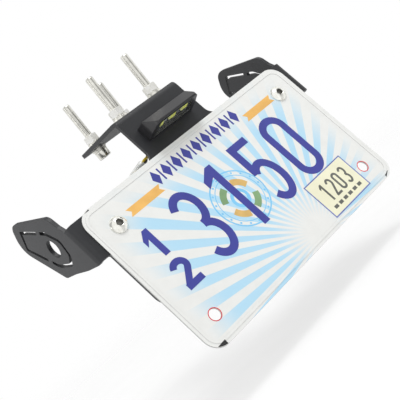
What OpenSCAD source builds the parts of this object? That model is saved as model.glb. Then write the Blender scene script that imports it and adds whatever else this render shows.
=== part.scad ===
// Tail tidy for a motorbike: a bracket folded from one sheet, with number plate, plate light and fixings.
// Origin: middle of the four studs, on the top face of the tail plate. +Z up, -Y to the rear, X across.

/* [Bracket sheet] */
// Thickness of the folded sheet
sheet_t = 2.5; // [2:0.5:4]
// Inside radius of every bend
bend_r = 1.5; // [1:0.5:2.5]
// Lean of the neck and the number plate from the vertical, in degrees
lean = 16; // [8:1:24]

/* [Tail plate] */
// Width of the tail plate and the neck
tail_w = 52; // [48:1:60]
// Distance between the studs across the bike
stud_dx = 30; // [28:1:36]
// Distance between the studs along the bike
stud_dy = 40; // [36:1:50]
// From the front studs to the front edge
stud_to_edge = 5; // [5:0.5:12]
// From the rear studs to the start of the bend
stud_to_bend = 5.4; // [5:0.1:12]
// Radius of the tail plate's front corners
tail_corner_r = 2; // [0.5:0.5:5]

/* [Neck and holder] */
// Down the neck, from the end of the bend to the top of the plate light
neck_above = 9; // [8:1:25]
// From the side of the number plate in to the side of the holder
holder_side_in = 0.4; // [0.2:0.2:4]
// From the top of the number plate down to the top of the holder
holder_top_in = 0.8; // [0.2:0.2:4]
// Lower edge of the holder, below the middle of the number plate
holder_low = 16; // [10:1:45]
// Radius of the holder's lower corners
holder_corner_r = 8; // [2:1:14]
// Radius of the fillets between the neck and the holder
neck_fillet_r = 6; // [2:1:8]

/* [Indicator arms] */
// From the side of the holder out to the outer face of an arm
arm_out = 7.5; // [6:0.5:14]
// Height of the strip that joins an arm to the holder
root_h = 25.5; // [18:0.5:30]
// Indicator hole, behind the holder's front face
hole_back = 26.8; // [24:0.2:34]
// Indicator hole, above the top of the holder
hole_rise = 3.4; // [0:0.2:10]
// Diameter of the indicator hole
hole_d = 11; // [8:0.5:12]
// Slope of the leaf's long axis, in degrees
leaf_slope = 48; // [40:1:56]
// From the indicator hole to the end of the leaf
leaf_len = 35.2; // [33:1:44]
// Half of the leaf's width beside the hole
leaf_half_w = 19.5; // [18:0.1:23]
// Half of the leaf's width at its end
leaf_end_half_w = 9.2; // [6:0.2:12]
// Width of the slots around the knock-out
slot_w = 2; // [1.2:0.2:2.6]
// Width of the two bridges that hold the knock-out
bridge_w = 3.4; // [2:0.2:6]
// From the indicator hole to the bridges
bridge_at = 9; // [6:0.5:12]
// From the indicator hole to the far end of the knock-out
knock_len = 28; // [22:0.5:28.5]
// Half of the knock-out's width beside the hole
knock_half_w = 10.6; // [9:0.1:12]

/* [Number plate] */
// Width of the number plate
plate_w = 177.8; // [177:0.1:180]
// Height of the number plate
plate_h = 101.6; // [100:0.1:125]
// Thickness of the number plate
plate_t = 1; // [0.8:0.1:2]
// Radius of its corners
plate_corner_r = 9.5; // [5:0.5:15]
// From the side of the number plate in to the middle of its holes
plate_hole_in = 15.9; // [13:0.1:19]
// Distance between its holes up and down
plate_hole_dy = 69; // [60:1:72]
// Middle of the holes below the middle of the plate
plate_hole_low = 1; // [0:0.5:3]
// Diameter of its holes
plate_hole_d = 6.8; // [6.5:0.1:8]
// Width of the raised rim
rim_w = 1.6; // [1:0.2:3]
// Height of the raised rim
rim_h = 0.2; // [0.1:0.1:0.8]
// From the plate's edge to the rim
rim_inset = 2; // [1:0.5:4]

/* [Tail bolts] */
// Diameter of the bolt
bolt_d = 5; // [4:0.5:6]
// Length of the bolt under its head
bolt_len = 35; // [30:1:50]
// Diameter of the bolt head
head_d = 8.5; // [8:0.5:9.5]
// Height of the bolt head
head_h = 5; // [4:0.5:6]
// Width of the socket across its flats
socket_af = 4; // [3:0.5:5]
// Width of the nut across its flats
nut_af = 8; // [7.5:0.5:10]
// Height of the nut
nut_h = 4.7; // [4:0.1:5]
// Outer diameter of the flat washers
washer_d = 10; // [9:0.5:10]
// Thickness of the flat washers
washer_t = 1; // [0.8:0.1:1.2]
// Outer diameter of the spring washers
spring_d = 8.8; // [8:0.1:9.2]
// Thickness of the spring washers
spring_t = 1.2; // [1:0.1:1.6]

/* [Plate screws] */
// Diameter of the screws that hold the number plate
screw_d = 6; // [5:0.5:6]
// Length under the head
screw_len = 16; // [14:1:25]
// Diameter of the button head
button_d = 10.5; // [9:0.5:12]
// Height of the button head
button_h = 3.3; // [2.6:0.1:4]
// Width of the nut across its flats
screw_nut_af = 10; // [9:0.5:11]
// Height of the nut
screw_nut_h = 5; // [4:0.5:6]
// Outer diameter of the washer behind the holder
screw_washer_d = 12; // [11:0.5:14]
// Thickness of the washer behind the holder
screw_washer_t = 1.6; // [1:0.2:2]

/* [Plate light] */
// Width of the light at the neck
light_w = 37.6; // [36.6:0.2:46]
// Width of the light at its front
light_front_w = 34.4; // [33:0.2:36]
// How far the light stands out from the neck
light_out = 17; // [16:0.5:19]
// Underside of the light, above the top of the number plate
light_above = 9.2; // [7:0.2:14]
// Height of the light at the neck
light_h = 10; // [9.5:0.5:12]
// From the neck out to the ridge along the light's top
light_ridge_out = 8.6; // [7.6:0.2:9.6]
// Height of the light's front edge above its underside
light_lip = 1; // [1:0.1:1.6]
// Thickness of the lens
lens_t = 1.2; // [1:0.1:1.6]
// Rim of the housing in front of the lens
light_rim = 3.2; // [2.8:0.2:4]
// Distance between the LEDs
led_pitch = 10.6; // [8:0.2:11]
// Width of an LED
led_w = 5; // [3:0.5:5]
// Thickness of an LED
led_t = 1.6; // [1:0.1:1.8]
// Thickness of the circuit board
board_t = 1.2; // [0.8:0.1:1.6]
// Distance between the two screws that hold the light
light_screw_dx = 28; // [24:1:30]
// Diameter of these screws
light_screw_d = 3; // [2.5:0.5:3]
// Diameter of the hole for the lead
lead_hole_d = 7; // [6:0.5:8]

/* [Lead] */
// Diameter of the twisted pair of wires
lead_d = 3; // [2.4:0.2:3.4]
// Length of the hank
hank_len = 48; // [44:1:56]
// Diameter of the hank's end loops
hank_d = 18; // [16:1:20]
// Length of a bullet connector's sleeve
sleeve_len = 18; // [14:1:22]

/* [Hidden] */
$fn = 64;

// Running clearance of a bolt in its hole, on the diameter
bolt_gap = 0.5;
// Clearance of a thread in its nut, on the diameter
thread_gap = 0.04;
// Clearance of a piece that drops into a recess, on each side
seat_gap = 0.1;
// How far a cutting shape runs past the face that it cuts
past = 1;
// How far each face and edge of the sheet draws in round a bend
bend_thin = 0.03;
// Degrees that a bend reaches into the flats on either side
bend_lap = 2;
// Most degrees that one step of a rounded corner turns
arc_step = 12;

// Places that follow from the sizes above, up and down from the middle of the number plate
front_y = stud_dy / 2 + stud_to_edge;
bend_y = -stud_dy / 2 - stud_to_bend;
fold = 90 - lean;
bend_out = bend_r + sheet_t;
light_low = plate_h / 2 + light_above;
plate_drop = light_low + light_h + neck_above;
holder_w = plate_w - 2 * holder_side_in;
holder_top = plate_h / 2 - holder_top_in;
arm_x = holder_w / 2 + arm_out;
hole_up = holder_top + hole_rise;
flange_start = bend_out;
root_low = holder_top - root_h;
plate_hole_dx = plate_w - 2 * plate_hole_in;
plate_hole_up = plate_hole_dy / 2 - plate_hole_low;
stack_low = washer_t + spring_t;
stack_up = washer_t + spring_t + nut_h;

// Radius of the holder's corners below the arms
holder_step_r = 1;
// Lower edge of an arm: it runs back and rises to the toe, and again up to the leaf's lower side
toe_back = 12;
toe_rise = 4.4;
heel_back = 12;
heel_drop = 4.6;
// Upper edge of an arm, where it leaves the bend
ear_back = 2;
ear_rise = 5;
// Corners of the leaf from the indicator hole: along its axis, and more than half its width across
leaf_low_along = -0.5;
leaf_high_along = -5.5;
leaf_bulge = 0.4;
leaf_shoulder = 1.7;
leaf_end_less = 0.6;
// Radii of the arm's corners, from the toe round to the ear
arm_radii = [5, 8, 4, 11, 8, 7, 4];

// Corners of the knock-out in the leaf's own axes: along, across, radius,
// and how far each moves along and across while the outline grows by 1
knock_corners = [
    [knock_len - 1, 5.2, 1, 1, 0.8],
    [2, knock_half_w - 0.7, 6, 0, 1.1],
    [-9.6, knock_half_w - 3.2, 5, -0.6, 0.9],
    [-13.6, -1.5, 4, -1.1, -0.1],
    [-10.6, -8.2, 1.5, -0.8, -0.8],
    [1, -knock_half_w - 1.3, 10, 0, -1.1],
    [knock_len, -6.6, 1, 1, -0.8]
];

// Chamfer at the end of a tail bolt
bolt_point = 0.6;
// Straight edge of a button head, and the depth of its socket
button_edge = 0.6;
button_socket = 2;
// How far the chamfer of a nut reaches past its corners
nut_ease = 0.3;
// Degrees that a nut is turned from the bike's axes, and the cut in a spring washer
nut_turn = 8;
split_from = 10;
split_gap = 14;

// Fall of the light's top from the neck to its ridge, and how far its nose draws in at the underside
ridge_fall = 1;
nose_in = 0.6;
// Radii of the light's edges: under the nose, at the nose, at the ridge, and of its corners seen from above
nose_low_r = 0.5;
nose_r = 0.9;
ridge_r = 1.5;
light_side_r = 8;
light_corner_r = 3;
// Corners of the light's section: out from the neck, and up the neck
light_section = [
    [0, light_low, 0], [light_out - nose_in, light_low, nose_low_r], [light_out, light_low + light_lip, nose_r],
    [light_ridge_out, light_low + light_h - ridge_fall, ridge_r], [0, light_low + light_h, 0]
];
// Lens, seen from below: half widths at its back and front edge, and its reach out from the neck
lens_back = 2;
lens_front = light_out - light_rim;
lens_half_back = light_w / 2 - 2.8;
lens_half_front = light_front_w / 2 - 4;
// Ledge that the lens seats on, the air between lens and LEDs, and the air round the board
lens_ledge = 1;
led_air = 0.2;
board_gap = 0.2;
board_low = light_low + lens_t + led_air + led_t;
light_mid = board_low + board_t + light_screw_d / 2 + 2 * seat_gap;
cavity_front = lens_front - 2 * lens_ledge;
led_out = (lens_back + lens_front) / 2 + 0.4;
// Screws that hold the light: height of the head, depth of its socket and reach into the housing
light_head_h = 2;
light_socket = 1.2;
light_screw_in = 4.5;
// Grommet: thickness of its collar and of its wall, and how far the collar stands out all round
collar_t = 1.5;
collar_out = 2;
grommet_wall = 1.5;
// Way for the lead into the housing
lead_way_d = lead_hole_d - 2;
lead_way_in = 3.5;

// The lead's route from the grommet down to the hank, in the part's frame
lead_route = [
    [0, -29, -16.6], [0, -25.9, -17.5], [-2.5, -24.1, -18.8], [-7, -23.8, -21.2], [-12.5, -25, -23.6],
    [-18, -26.5, -25.8], [-23.5, -27.8, -27.5], [-29, -28.7, -28.8], [-34.2, -29, -29.8],
    [-39, -29.1, -31.4], [-42.6, -29.1, -34.4], [-44.2, -29.2, -38.8], [-44.6, -29.2, -44], [-44.6, -29.2, -50]
];
lead_sides = 8;
hank_x = -44.6;
hank_y = -29.2;
hank_top = -50;
hank_t = 2 * lead_d;
hank_mid = hank_top - hank_len / 2;
hank_waist = 3 * lead_d;
tie_h = 3;
tie_t = 1.2;
tail_len = 6;
bullet_gap = 5.6;
sleeve_d = 5;
bullet_d = 3.9;
guard_from = 7;
guard_to = 9;
guard_d = 5.4;
guard_bore = 4.4;

function unit(v) = v / norm(v);
function turn(a) = a > 180 ? a - 360 : a < -180 ? a + 360 : a;

// Points of the arc that rounds the corner b between a and c
function corner(a, b, c, r) =
    r == 0 ? [b] :
    let (
        u = unit(a - b),
        v = unit(c - b),
        half = acos(u * v) / 2,
        o = b + unit(u + v) * r / sin(half),
        p = b + u * r / tan(half) - o,
        q = b + v * r / tan(half) - o,
        from = atan2(p[1], p[0]),
        sweep = turn(atan2(q[1], q[0]) - from),
        steps = max(1, ceil(abs(sweep) / arc_step))
    )
    [for (i = [0 : steps]) o + r * [cos(from + sweep * i / steps), sin(from + sweep * i / steps)]];

// Outline with each corner [x, y, r] rounded by its own radius
function rounded(pts) = [
    for (i = [0 : len(pts) - 1])
        let (
            a = pts[(i + len(pts) - 1) % len(pts)],
            b = pts[i],
            c = pts[(i + 1) % len(pts)]
        )
        each corner([a[0], a[1]], [b[0], b[1]], [c[0], c[1]], b[2])
];

// A point of the leaf, from its own axes at the indicator hole to depth and height
function leaf(along, across) = [
    hole_back + along * cos(leaf_slope) - across * sin(leaf_slope),
    hole_up + along * sin(leaf_slope) + across * cos(leaf_slope)
];

// Knock-out outline, moved outwards by grow
function knock(grow) = [for (c = knock_corners) [c[0] + grow * c[3], c[1] + grow * c[4], c[2]]];

// Axes of the neck: from the middle of the bend, Y up along the neck, Z out to the rear
module on_neck() {
    translate([0, bend_y, -bend_out]) rotate([fold, 0, 0]) children();
}

// Axes of the holder: X across, Y up along it, Z out to the rear from its front face
module on_holder() {
    on_neck() translate([0, -plate_drop, bend_out]) children();
}

module at_stud(side, end) {
    translate([side * stud_dx / 2, end * stud_dy / 2, 0]) children();
}

module at_plate_screw(side) {
    on_holder() translate([side * plate_hole_dx / 2, plate_hole_up, 0]) children();
}

// Draws its child along the line from p to q, with the child's Z on that line
module along(p, q) {
    d = q - p;
    translate(p) rotate([0, acos(d[2] / norm(d)), atan2(d[1], d[0])]) children();
}

module ring(outer, inner, h) {
    difference() {
        cylinder(d = outer, h = h);
        translate([0, 0, -past]) cylinder(d = inner, h = h + 2 * past);
    }
}

module hex(af, h) {
    cylinder(d = af / cos(30), h = h, $fn = 6);
}

// Hexagon nut with its corners chamfered at both ends
module hex_nut(af, h, bore) {
    chamfer = (af / cos(30) - af) / 2 * tan(30) + nut_ease;
    difference() {
        intersection() {
            hex(af, h);
            union() {
                cylinder(d1 = af, d2 = af + 2 * chamfer / tan(30), h = chamfer);
                translate([0, 0, chamfer]) cylinder(d = 2 * af, h = h - 2 * chamfer);
                translate([0, 0, h - chamfer]) cylinder(d1 = af + 2 * chamfer / tan(30), d2 = af, h = chamfer);
            }
        }
        translate([0, 0, -past]) cylinder(d = bore, h = h + 2 * past);
    }
}

// Spring washer: a ring of square section with a cut through one side
module split_ring(outer, inner, h) {
    rotate([0, 0, split_from]) rotate_extrude(angle = 360 - split_gap)
        translate([inner / 2, 0]) square([(outer - inner) / 2, h]);
}

module tail_plate_sheet() {
    half = tail_w / 2;
    translate([0, 0, -sheet_t]) linear_extrude(sheet_t) difference() {
        polygon(rounded([
            [-half, bend_y, 0], [half, bend_y, 0],
            [half, front_y, tail_corner_r], [-half, front_y, tail_corner_r]
        ]));
        for (side = [-1, 1], end = [-1, 1])
            translate([side * stud_dx / 2, end * stud_dy / 2]) circle(d = bolt_d + bolt_gap);
    }
}

// Bend of the sheet about its own Z axis, which starts on its X axis
module sheet_bend(angle, width) {
    rotate([0, 0, -bend_lap]) rotate_extrude(angle = angle + 2 * bend_lap)
        translate([bend_r + bend_thin, bend_thin]) square([sheet_t - 2 * bend_thin, width - 2 * bend_thin]);
}

module tail_bend() {
    translate([-tail_w / 2, bend_y, -bend_out]) rotate([180, -90, 0]) sheet_bend(fold, tail_w);
}

module neck_and_holder() {
    half = tail_w / 2;
    wide = holder_w / 2;
    root = arm_x - bend_out;
    translate([0, 0, -sheet_t]) linear_extrude(sheet_t) difference() {
        polygon(rounded([
            [-half, plate_drop, 0], [-half, holder_top, neck_fillet_r],
            [-root, holder_top, 0], [-root, root_low, 0],
            [-wide, root_low, holder_step_r], [-wide, -holder_low, holder_corner_r],
            [wide, -holder_low, holder_corner_r], [wide, root_low, holder_step_r],
            [root, root_low, 0], [root, holder_top, 0],
            [half, holder_top, neck_fillet_r], [half, plate_drop, 0]
        ]));
        for (side = [-1, 1]) {
            translate([side * plate_hole_dx / 2, plate_hole_up]) circle(d = screw_d + bolt_gap);
            translate([side * light_screw_dx / 2, light_mid]) circle(d = light_screw_d + bolt_gap);
        }
        translate([0, light_mid]) circle(d = lead_hole_d);
    }
}

// Side view of an arm behind its bend: depth behind the holder's front face, and height
module arm_outline() {
    low_side = leaf(leaf_low_along, -leaf_half_w - leaf_bulge);
    end_low = leaf(leaf_len, -leaf_end_half_w);
    end_high = leaf(leaf_len, leaf_end_half_w - leaf_end_less);
    high_side = leaf(leaf_high_along, leaf_half_w + leaf_shoulder);
    polygon(rounded([
        [flange_start, root_low, 0],
        [flange_start + toe_back, root_low + toe_rise, arm_radii[0]],
        [low_side[0] - heel_back, low_side[1] - heel_drop, arm_radii[1]],
        [low_side[0], low_side[1], arm_radii[2]],
        [end_low[0], end_low[1], arm_radii[3]],
        [end_high[0], end_high[1], arm_radii[4]],
        [high_side[0], high_side[1], arm_radii[5]],
        [flange_start + ear_back, holder_top + ear_rise, arm_radii[6]],
        [flange_start, holder_top, 0]
    ]));
}

module knock_out_slots() {
    translate([hole_back, hole_up]) rotate(leaf_slope) difference() {
        polygon(rounded(knock(slot_w / 2)));
        polygon(rounded(knock(-slot_w / 2)));
        translate([bridge_at - bridge_w / 2, -2 * knock_half_w]) square([bridge_w, 4 * knock_half_w]);
    }
}

module arm(side) {
    mirror([side < 0 ? 1 : 0, 0, 0]) {
        translate([arm_x - bend_out, root_low, -bend_out])
            rotate([-90, 0, 0]) rotate([0, 0, -90]) sheet_bend(90, root_h);
        translate([arm_x - sheet_t, 0, 0]) rotate([0, 90, 0]) linear_extrude(sheet_t) difference() {
            arm_outline();
            knock_out_slots();
            translate([hole_back, hole_up]) circle(d = hole_d);
        }
    }
}

module bracket() {
    color("#3a3b3d") union() {
        tail_plate_sheet();
        tail_bend();
        on_holder() {
            neck_and_holder();
            arm(-1);
            arm(1);
        }
    }
}

// Rectangle with round corners, as wide and high as the number plate less twice the inset
module plate_outline(inset) {
    w = plate_w / 2 - inset;
    h = plate_h / 2 - inset;
    r = plate_corner_r - inset;
    polygon(rounded([[-w, -h, r], [w, -h, r], [w, h, r], [-w, h, r]]));
}

module number_plate() {
    color("#f2f3ee") on_holder() difference() {
        union() {
            linear_extrude(plate_t) plate_outline(0);
            translate([0, 0, plate_t]) linear_extrude(rim_h) difference() {
                plate_outline(rim_inset);
                plate_outline(rim_inset + rim_w);
            }
        }
        for (side = [-1, 1], up = [plate_hole_up, plate_hole_up - plate_hole_dy])
            translate([side * plate_hole_dx / 2, up, -past])
                cylinder(d = plate_hole_d, h = plate_t + 2 * past);
    }
}

module tail_bolt(side, end) {
    under = -sheet_t - stack_low;
    color("#c9c6bb") at_stud(side, end) difference() {
        union() {
            translate([0, 0, under - head_h]) cylinder(d = head_d, h = head_h);
            translate([0, 0, under]) cylinder(d = bolt_d, h = bolt_len - bolt_point);
            translate([0, 0, under + bolt_len - bolt_point])
                cylinder(d1 = bolt_d, d2 = bolt_d - 2 * bolt_point, h = bolt_point);
        }
        translate([0, 0, under - head_h - past]) hex(socket_af, head_h / 2 + past);
    }
}

module lower_washer(side, end) {
    color("#cfccc2") at_stud(side, end) translate([0, 0, -sheet_t - washer_t])
        ring(washer_d, bolt_d + bolt_gap, washer_t);
}

module lower_spring(side, end) {
    color("#bdbab0") at_stud(side, end) translate([0, 0, -sheet_t - stack_low])
        split_ring(spring_d, bolt_d + bolt_gap, spring_t);
}

module upper_washer(side, end) {
    color("#cfccc2") at_stud(side, end) ring(washer_d, bolt_d + bolt_gap, washer_t);
}

module upper_spring(side, end) {
    color("#bdbab0") at_stud(side, end) translate([0, 0, washer_t])
        split_ring(spring_d, bolt_d + bolt_gap, spring_t);
}

module tail_nut(side, end) {
    color("#d2cfc4") at_stud(side, end) translate([0, 0, stack_up - nut_h])
        rotate([0, 0, nut_turn]) hex_nut(nut_af, nut_h, bolt_d + thread_gap);
}

module plate_screw(side) {
    dome = button_h - button_edge;
    dome_r = (pow(button_d / 2, 2) + dome * dome) / (2 * dome);
    color("#d4d2ca") at_plate_screw(side) translate([0, 0, plate_t]) difference() {
        union() {
            cylinder(d = button_d, h = button_edge);
            intersection() {
                translate([0, 0, button_h - dome_r]) sphere(r = dome_r);
                translate([0, 0, button_edge]) cylinder(d = button_d, h = button_h);
            }
            translate([0, 0, -screw_len]) cylinder(d = screw_d, h = screw_len);
        }
        translate([0, 0, button_h - button_socket]) hex(socket_af, button_socket + past);
    }
}

module plate_washer(side) {
    color("#cfccc2") at_plate_screw(side) translate([0, 0, -sheet_t - screw_washer_t])
        ring(screw_washer_d, screw_d + bolt_gap, screw_washer_t);
}

module plate_nut(side) {
    color("#cfccc2") at_plate_screw(side) translate([0, 0, -sheet_t - screw_washer_t - screw_nut_h])
        hex_nut(screw_nut_af, screw_nut_h, screw_d + thread_gap);
}

// Outline seen from below that narrows from the neck to its front, less a gap all round
module tapered(back, front, half_back, half_front, gap) {
    polygon([
        [-half_back + gap, back + gap], [half_back - gap, back + gap],
        [half_front - gap, front - gap], [-half_front + gap, front - gap]
    ]);
}

module lens_outline(gap) {
    tapered(lens_back, lens_front, lens_half_back, lens_half_front, gap);
}

// Hollow above the lens, which holds the board
module cavity_outline(gap) {
    tapered(lens_back + lens_ledge, cavity_front, lens_half_back - lens_ledge, lens_half_front - lens_ledge / 2, gap);
}

// Puts a flat shape drawn in X and the way out from the neck at a height, and gives it a thickness upwards
module level(height, thick) {
    translate([0, height + thick, 0]) rotate([90, 0, 0]) linear_extrude(thick) children();
}

module light_housing() {
    half = light_w / 2;
    front = light_front_w / 2;
    color("#2b2c2e") on_holder() difference() {
        intersection() {
            translate([-half, 0, 0]) rotate([0, -90, 180]) mirror([0, 1, 0])
                linear_extrude(light_w) polygon(rounded(light_section));
            level(light_low - past, light_h + 2 * past) polygon(rounded([
                [-half, 0, 0], [half, 0, 0], [half, light_ridge_out, light_side_r],
                [front, light_out, light_corner_r], [-front, light_out, light_corner_r],
                [-half, light_ridge_out, light_side_r]
            ]));
        }
        level(light_low - past, lens_t + past) lens_outline(0);
        level(light_low, board_low + board_t - light_low) cavity_outline(0);
        for (side = [-1, 1])
            translate([side * light_screw_dx / 2, light_mid, -past])
                cylinder(d = light_screw_d + thread_gap, h = light_screw_in + bolt_gap + past);
        translate([0, light_mid, -past]) cylinder(d = lead_way_d, h = lead_way_in + past);
    }
}

module light_lens() {
    color("#cfd6dc", 0.5) on_holder() level(light_low, lens_t) lens_outline(seat_gap);
}

module light_board() {
    color("#2f3b33") on_holder() level(board_low, board_t) cavity_outline(board_gap);
}

module led(place) {
    color("#dfe27a") on_holder() level(board_low - led_t, led_t)
        translate([place * led_pitch - led_w / 2, led_out - led_w / 2]) square(led_w);
}

module light_screw(side) {
    color("#b9b7ae") on_holder() translate([side * light_screw_dx / 2, light_mid, -sheet_t]) difference() {
        union() {
            translate([0, 0, -light_head_h]) cylinder(d = 2 * light_screw_d, h = light_head_h);
            cylinder(d = light_screw_d, h = sheet_t + light_screw_in);
        }
        translate([0, 0, -light_head_h - past]) hex(light_screw_d * 2 / 3, light_socket + past);
    }
}

// Grommet: a collar on the back of the neck and a sleeve through the hole
module lead_grommet() {
    color("#1d1d1f") on_holder() translate([0, light_mid, -sheet_t]) difference() {
        union() {
            translate([0, 0, -collar_t]) cylinder(d = lead_hole_d + 2 * collar_out, h = collar_t);
            cylinder(d = lead_hole_d - seat_gap, h = sheet_t);
        }
        translate([0, 0, past]) cylinder(d = lead_hole_d - 2 * grommet_wall, h = sheet_t);
    }
}

// Tube of the lead: rings of eight points square to the route
module lead() {
    last = len(lead_route) - 1;
    sides = lead_sides;
    function heading(i) = unit(lead_route[min(i + 1, last)] - lead_route[max(i - 1, 0)]);
    function across(i) = unit(cross(heading(i), [0.3, 1, 0.2]));
    rings = [
        for (i = [0 : last])
            let (a = across(i), b = cross(heading(i), a))
            for (k = [0 : sides - 1])
                lead_route[i] + lead_d / 2 * (cos(360 * k / sides) * a + sin(360 * k / sides) * b)
    ];
    skin = [
        for (i = [0 : last - 1], k = [0 : sides - 1])
            let (n = (k + 1) % sides)
            [i * sides + k, (i + 1) * sides + k, (i + 1) * sides + n, i * sides + n]
    ];
    ends = [
        [for (k = [0 : sides - 1]) k],
        [for (k = [sides - 1 : -1 : 0]) last * sides + k]
    ];
    color("#26262a") polyhedron(rings, concat(skin, ends));
}

// Clear tube that guards the lead where it passes the neck's edge
module lead_guard() {
    color("#d9dcd8", 0.6) along(lead_route[guard_from], lead_route[guard_to])
        ring(guard_d, guard_bore, norm(lead_route[guard_to] - lead_route[guard_from]));
}

// Points of a round stretch of an outline
function arc(centre, r, from, to) =
    [for (i = [0 : 20]) let (a = from + (to - from) * i / 20) centre + r * [cos(a), sin(a)]];

// Outer shape of the folded lead: two round loops and a narrow waist
module lead_hank() {
    r = hank_d / 2;
    far = hank_len / 2 - r;
    waist = hank_waist / 2;
    color("#2c2c30") translate([hank_x, hank_y + hank_t / 2, hank_mid]) rotate([90, 0, 0])
        linear_extrude(hank_t) polygon(concat(
            arc([0, -far], r, 150, 390), [[waist, -tie_h / 2], [waist, tie_h / 2]],
            arc([0, far], r, -30, 210), [[-waist, tie_h / 2], [-waist, -tie_h / 2]]
        ));
}

module lead_tie() {
    w = hank_waist;
    color("#e8e8e4") translate([hank_x, hank_y, hank_mid - tie_h / 2]) linear_extrude(tie_h) difference() {
        square([w + 2 * tie_t, hank_t + 2 * tie_t], center = true);
        square([w, hank_t], center = true);
    }
}

module connector(side) {
    color("#c8a24a") translate([hank_x + side * bullet_gap / 2, hank_y, hank_top - hank_len - tail_len]) {
        translate([0, 0, 1.5 - sleeve_len]) cylinder(d = bullet_d, h = sleeve_len - 1.5);
        cylinder(d = lead_d / 2, h = tail_len);
    }
}

module connector_sleeve(side) {
    color("#e4e8e6", 0.6)
        translate([hank_x + side * bullet_gap / 2, hank_y, hank_top - hank_len - tail_len - sleeve_len])
            ring(sleeve_d, bullet_d + 0.1, sleeve_len);
}

bracket();
number_plate();
tail_bolt(-1, 1);  // tail_bolt_fl
tail_bolt(1, 1);  // tail_bolt_fr
tail_bolt(-1, -1);  // tail_bolt_rl
tail_bolt(1, -1);  // tail_bolt_rr
lower_washer(-1, 1);  // lower_washer_fl
lower_washer(1, 1);  // lower_washer_fr
lower_washer(-1, -1);  // lower_washer_rl
lower_washer(1, -1);  // lower_washer_rr
lower_spring(-1, 1);  // lower_spring_fl
lower_spring(1, 1);  // lower_spring_fr
lower_spring(-1, -1);  // lower_spring_rl
lower_spring(1, -1);  // lower_spring_rr
upper_washer(-1, 1);  // upper_washer_fl
upper_washer(1, 1);  // upper_washer_fr
upper_washer(-1, -1);  // upper_washer_rl
upper_washer(1, -1);  // upper_washer_rr
upper_spring(-1, 1);  // upper_spring_fl
upper_spring(1, 1);  // upper_spring_fr
upper_spring(-1, -1);  // upper_spring_rl
upper_spring(1, -1);  // upper_spring_rr
tail_nut(-1, 1);  // tail_nut_fl
tail_nut(1, 1);  // tail_nut_fr
tail_nut(-1, -1);  // tail_nut_rl
tail_nut(1, -1);  // tail_nut_rr
plate_screw(-1);  // plate_screw_left
plate_screw(1);  // plate_screw_right
plate_washer(-1);  // plate_washer_left
plate_washer(1);  // plate_washer_right
plate_nut(-1);  // plate_nut_left
plate_nut(1);  // plate_nut_right
light_housing();
light_lens();
light_board();
led(-1);  // led_left
led(0);  // led_middle
led(1);  // led_right
light_screw(-1);  // light_screw_left
light_screw(1);  // light_screw_right
lead_grommet();
lead();
lead_guard();
lead_hank();
lead_tie();
connector(-1);  // connector_left
connector(1);  // connector_right
connector_sleeve(-1);  // connector_sleeve_left
connector_sleeve(1);  // connector_sleeve_right
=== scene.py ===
"""Looks of a motorcycle tail tidy: folded bracket, number plate, plate light, studs and lead."""
import math

import bpy
from bpy.props import FloatProperty, FloatVectorProperty, IntProperty, PointerProperty
from mathutils import Matrix, Vector


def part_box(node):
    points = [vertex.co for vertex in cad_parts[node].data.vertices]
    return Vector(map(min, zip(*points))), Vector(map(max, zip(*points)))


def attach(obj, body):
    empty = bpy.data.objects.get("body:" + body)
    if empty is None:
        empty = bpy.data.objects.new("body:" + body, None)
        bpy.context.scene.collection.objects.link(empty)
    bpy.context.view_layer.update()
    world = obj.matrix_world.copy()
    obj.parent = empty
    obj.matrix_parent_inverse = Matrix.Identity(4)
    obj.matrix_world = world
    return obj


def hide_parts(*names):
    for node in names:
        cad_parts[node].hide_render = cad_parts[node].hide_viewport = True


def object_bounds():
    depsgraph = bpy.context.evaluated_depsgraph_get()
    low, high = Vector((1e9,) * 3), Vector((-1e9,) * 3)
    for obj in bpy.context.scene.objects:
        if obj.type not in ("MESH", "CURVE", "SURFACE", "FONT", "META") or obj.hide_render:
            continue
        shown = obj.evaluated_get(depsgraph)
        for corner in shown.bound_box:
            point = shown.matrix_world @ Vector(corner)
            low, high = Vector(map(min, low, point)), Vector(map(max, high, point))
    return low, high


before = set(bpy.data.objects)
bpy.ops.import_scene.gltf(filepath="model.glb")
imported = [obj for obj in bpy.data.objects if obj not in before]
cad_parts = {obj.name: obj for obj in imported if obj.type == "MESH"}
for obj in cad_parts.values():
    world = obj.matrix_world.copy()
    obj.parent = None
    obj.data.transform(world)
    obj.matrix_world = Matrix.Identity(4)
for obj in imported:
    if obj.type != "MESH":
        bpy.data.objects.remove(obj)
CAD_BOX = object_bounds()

bl_info = {
    "name": "Tail Tidy",
    "version": (1, 0, 0),
    "blender": (4, 5, 0),
    "location": "3D View > Sidebar > Tail Tidy",
    "description": "Finishes, print, threads, lead and studio for a motorcycle tail tidy",
    "category": "Object",
}

MM = 0.001
BODY = "root"
LEAN = math.radians(16)
PLATE_T = 1.0 * MM
RIM_T = 0.2 * MM
LED_T = 1.6 * MM
STUD_R = 2.5 * MM
MOUTH = 0.15 * MM
TIE_HEAD = Vector((4.6, 3.2, 4.2)) * MM
CHIP = Vector((2.6, 1.1, 1.1)) * MM

# Print: how far it reaches into the plate, the step between crossing strokes, and its relief
INK_FOOT = 0.02 * MM
INK_STEP = 0.01 * MM
RELIEF = 0.01 * MM

# Layers of print, as shares of the ink's height
RING_LAYER = 0.6
STICKER_LAYER = 1.2
TOP_LAYER = 1.6

# Grain of ink and of paper, in features to the metre
INK_GRAIN = 1800
PAPER_GRAIN = 1500

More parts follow.
